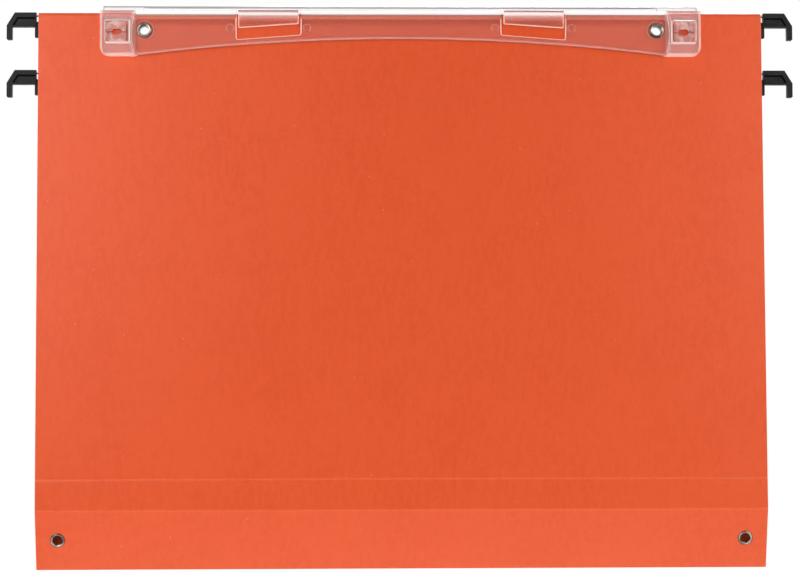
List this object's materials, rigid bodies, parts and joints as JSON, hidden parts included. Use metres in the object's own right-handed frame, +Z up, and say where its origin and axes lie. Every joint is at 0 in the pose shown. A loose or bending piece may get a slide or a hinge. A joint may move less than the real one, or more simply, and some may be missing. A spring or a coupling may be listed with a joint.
{
  "type": "hanging file folder",
  "caption": "Hanging file folder of folded orange card with steel bars in its top hems, black rail hooks, a clear label holder along the front edge and a folding base with eyelets.",
  "frame": {"origin": "midway between the two front hooks, at the roof of their notches, where the folder hangs on its rails", "axes": "+X along the hanging bars to the right seen from the front, +Y towards the rear leaf, +Z up"},
  "size_m": [0.3446, 0.013, 0.2458],
  "materials": {
    "orange_card": "matt kraft card with short fibres",
    "bar_steel": "zinc plated",
    "black_plastic": "fine satin moulding",
    "clear_plastic": "clear polished moulding",
    "eyelet_metal": "nickel plated"
  },
  "bodies": {
    "front_leaf": {"front_panel": "orange_card", "front_bar": "bar_steel", "front_left_hook": "black_plastic", "front_right_hook": "black_plastic", "label_holder": "clear_plastic", "left_holder_eyelet": "eyelet_metal", "right_holder_eyelet": "eyelet_metal"},
    "base": {"base_panel": "orange_card", "left_base_eyelet": "eyelet_metal", "right_base_eyelet": "eyelet_metal"},
    "rear_strip": {"rear_strip": "orange_card"},
    "rear_leaf": {"rear_panel": "orange_card"},
    "rear_hanger": {"rear_bar": "bar_steel", "rear_left_hook": "black_plastic", "rear_right_hook": "black_plastic"}
  },
  "joints": [
    {"name": "base_fold", "type": "hinge", "parent": "front_leaf", "child": "base", "pos_m": [0, -0.0012, -0.2109], "axis": [1, 0, 0], "range_deg": [0, 72]},
    {"name": "bottom_fold", "type": "hinge", "parent": "base", "child": "rear_strip", "pos_m": [0, 0.00696, -0.23601], "axis": [1, 0, 0], "range_deg": [-72, 0]},
    {"name": "rear_leaf_swing", "type": "hinge", "parent": "rear_strip", "child": "rear_leaf", "pos_m": [0, 0.00707, -0.2228], "axis": [-1, 0, 0], "range_deg": [0, 135]},
    {"name": "rear_bar_float", "type": "slide", "parent": "rear_leaf", "child": "rear_hanger", "axis": [1, 0, 0], "range_m": [-0.0008, 0.0008]}
  ],
  "couplings": [
    {"joint": "bottom_fold", "follows": "base_fold", "ratio": -1}
  ]
}
